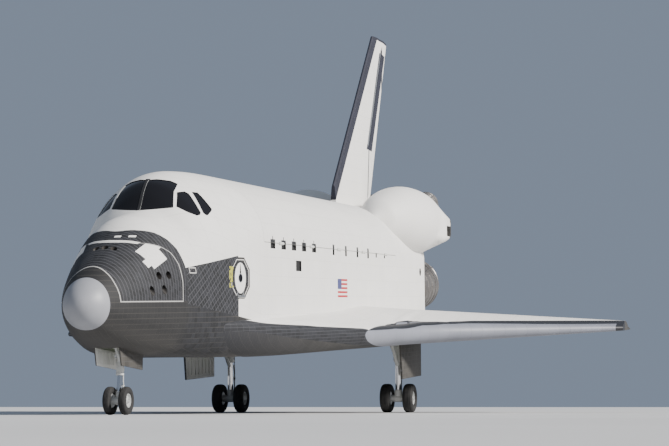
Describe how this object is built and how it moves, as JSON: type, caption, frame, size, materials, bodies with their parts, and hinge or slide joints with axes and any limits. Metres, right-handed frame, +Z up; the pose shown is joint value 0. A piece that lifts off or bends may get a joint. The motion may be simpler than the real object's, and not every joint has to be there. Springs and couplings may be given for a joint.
{
  "type": "space shuttle orbiter",
  "caption": "Winged space shuttle orbiter parked on its landing gear, with payload bay doors, a crew hatch, elevons, a rudder that splits as a speed brake and a body flap.",
  "frame": {"origin": "middle of the bounding box, on the floor that the tyres stand on", "axes": "+X towards the nose, +Y to port, +Z up; the airframe stands 3.2 degrees nose low, as it parks"},
  "size_m": [36.5026, 23.79, 17.2568],
  "materials": {
    "white_skin": "matte off-white tiles and blankets",
    "black_tile": "matte near-black ceramic tiles",
    "carbon_edge": "matte mid grey reinforced carbon",
    "glass": "dark window glass",
    "bare_metal": "satin bare metal",
    "nozzle_metal": "heat-darkened metal",
    "rubber": "black tyre rubber",
    "gear_paint": "satin light grey paint"
  },
  "bodies": {
    "airframe": {"nose_cap": "carbon_edge", "forward_fuselage": "white_skin", "forward_thruster_module": "black_tile", "window_front_left": "glass", "window_front_right": "glass", "window_side_left": "glass", "window_side_right": "glass", "window_aft_left": "glass", "window_aft_right": "glass", "mid_fuselage": "white_skin", "aft_fuselage": "white_skin", "wing_left": "black_tile", "wing_right": "black_tile", "wing_edge_left": "carbon_edge", "wing_edge_right": "carbon_edge", "vertical_fin": "white_skin", "manoeuvring_pod_left": "white_skin", "manoeuvring_pod_right": "white_skin", "pod_nozzle_left": "nozzle_metal", "pod_nozzle_right": "nozzle_metal", "main_engine_upper": "nozzle_metal", "main_engine_left": "nozzle_metal", "main_engine_right": "nozzle_metal", "nose_gear_leg": "gear_paint", "nose_gear_door_left": "white_skin", "nose_gear_door_right": "white_skin", "main_gear_leg_left": "gear_paint", "main_gear_leg_right": "gear_paint", "main_gear_door_left": "white_skin", "main_gear_door_right": "white_skin"},
    "payload_door_left": {"payload_door_left": "white_skin"},
    "payload_door_right": {"payload_door_right": "white_skin"},
    "crew_hatch": {"crew_hatch": "white_skin"},
    "elevon_inboard_left": {"elevon_inboard_left": "black_tile"},
    "elevon_inboard_right": {"elevon_inboard_right": "black_tile"},
    "elevon_outboard_left": {"elevon_outboard_left": "black_tile"},
    "elevon_outboard_right": {"elevon_outboard_right": "black_tile"},
    "body_flap": {"body_flap": "black_tile"},
    "rudder": {"rudder_shaft": "bare_metal"},
    "speed_brake_left": {"rudder_panel_left": "white_skin"},
    "speed_brake_right": {"rudder_panel_right": "white_skin"},
    "nose_fork": {"nose_gear_fork": "gear_paint"},
    "nose_wheels": {"nose_wheels": "bare_metal", "nose_tyre_left": "rubber", "nose_tyre_right": "rubber"},
    "main_wheels_left": {"main_wheels_left": "bare_metal", "main_tyre_inner_left": "rubber", "main_tyre_outer_left": "rubber"},
    "main_wheels_right": {"main_wheels_right": "bare_metal", "main_tyre_inner_right": "rubber", "main_tyre_outer_right": "rubber"}
  },
  "joints": [
    {"name": "payload_door_left_hinge", "type": "hinge", "parent": "airframe", "child": "payload_door_left", "pos_m": [0.48631, 2.64, 5.91415], "axis": [-0.9984, 0, 0.0558], "range_deg": [0, 175.5]},
    {"name": "payload_door_right_hinge", "type": "hinge", "parent": "airframe", "child": "payload_door_right", "pos_m": [0.48631, -2.64, 5.91415], "axis": [0.9984, 0, -0.0558], "range_deg": [0, 175.5]},
    {"name": "crew_hatch_hinge", "type": "hinge", "parent": "airframe", "child": "crew_hatch", "pos_m": [11.27518, 2.41356, 3.58727], "axis": [-0.9853, 0.1615, 0.0551], "range_deg": [0, 90]},
    {"name": "elevon_inboard_left_hinge", "type": "hinge", "parent": "airframe", "child": "elevon_inboard_left", "pos_m": [-10.96265, 5.435, 3.29671], "axis": [0.0014, 0.9997, 0.0248], "range_deg": [-21.5, 36.5]},
    {"name": "elevon_inboard_right_hinge", "type": "hinge", "parent": "airframe", "child": "elevon_inboard_right", "pos_m": [-10.96265, -5.435, 3.29671], "axis": [-0.0014, 0.9997, -0.0248], "range_deg": [-21.5, 36.5]},
    {"name": "elevon_outboard_left_hinge", "type": "hinge", "parent": "airframe", "child": "elevon_outboard_left", "pos_m": [-10.95645, 9.9025, 3.40769], "axis": [0.0014, 0.9997, 0.0248], "range_deg": [-21.5, 36.5]},
    {"name": "elevon_outboard_right_hinge", "type": "hinge", "parent": "airframe", "child": "elevon_outboard_right", "pos_m": [-10.95645, -9.9025, 3.40769], "axis": [-0.0014, 0.9997, -0.0248], "range_deg": [-21.5, 36.5]},
    {"name": "body_flap_hinge", "type": "hinge", "parent": "airframe", "child": "body_flap", "pos_m": [-14.64262, 0, 3.45384], "axis": [0, 1, 0], "range_deg": [-22.5, 11.7]},
    {"name": "rudder_turn", "type": "hinge", "parent": "airframe", "child": "rudder", "pos_m": [-15.36011, 0, 14.15557], "axis": [-0.5186, 0, 0.855], "range_deg": [-27.1, 27.1]},
    {"name": "speed_brake_left_hinge", "type": "hinge", "parent": "rudder", "child": "speed_brake_left", "pos_m": [-15.36011, 0, 14.15557], "axis": [0.5186, 0, -0.855], "range_deg": [0, 49.3]},
    {"name": "speed_brake_right_hinge", "type": "hinge", "parent": "rudder", "child": "speed_brake_right", "pos_m": [-15.36011, 0, 14.15557], "axis": [-0.5186, 0, 0.855], "range_deg": [0, 49.3]},
    {"name": "nose_steering", "type": "hinge", "parent": "airframe", "child": "nose_fork", "pos_m": [15.20178, 0, 0.406], "axis": [-0.1436, 0, 0.9896], "range_deg": [-10, 10]},
    {"name": "nose_wheel_spin", "type": "hinge", "parent": "nose_fork", "child": "nose_wheels", "pos_m": [15.20178, 0, 0.406], "axis": [0, 1, 0], "continuous": true},
    {"name": "main_wheel_left_spin", "type": "hinge", "parent": "airframe", "child": "main_wheels_left", "pos_m": [-5.64585, 3.454, 0.565], "axis": [0, 1, 0], "continuous": true},
    {"name": "main_wheel_right_spin", "type": "hinge", "parent": "airframe", "child": "main_wheels_right", "pos_m": [-5.64585, -3.454, 0.565], "axis": [0, 1, 0], "continuous": true}
  ],
  "couplings": [
    {"joint": "speed_brake_right_hinge", "follows": "speed_brake_left_hinge", "ratio": 1}
  ]
}
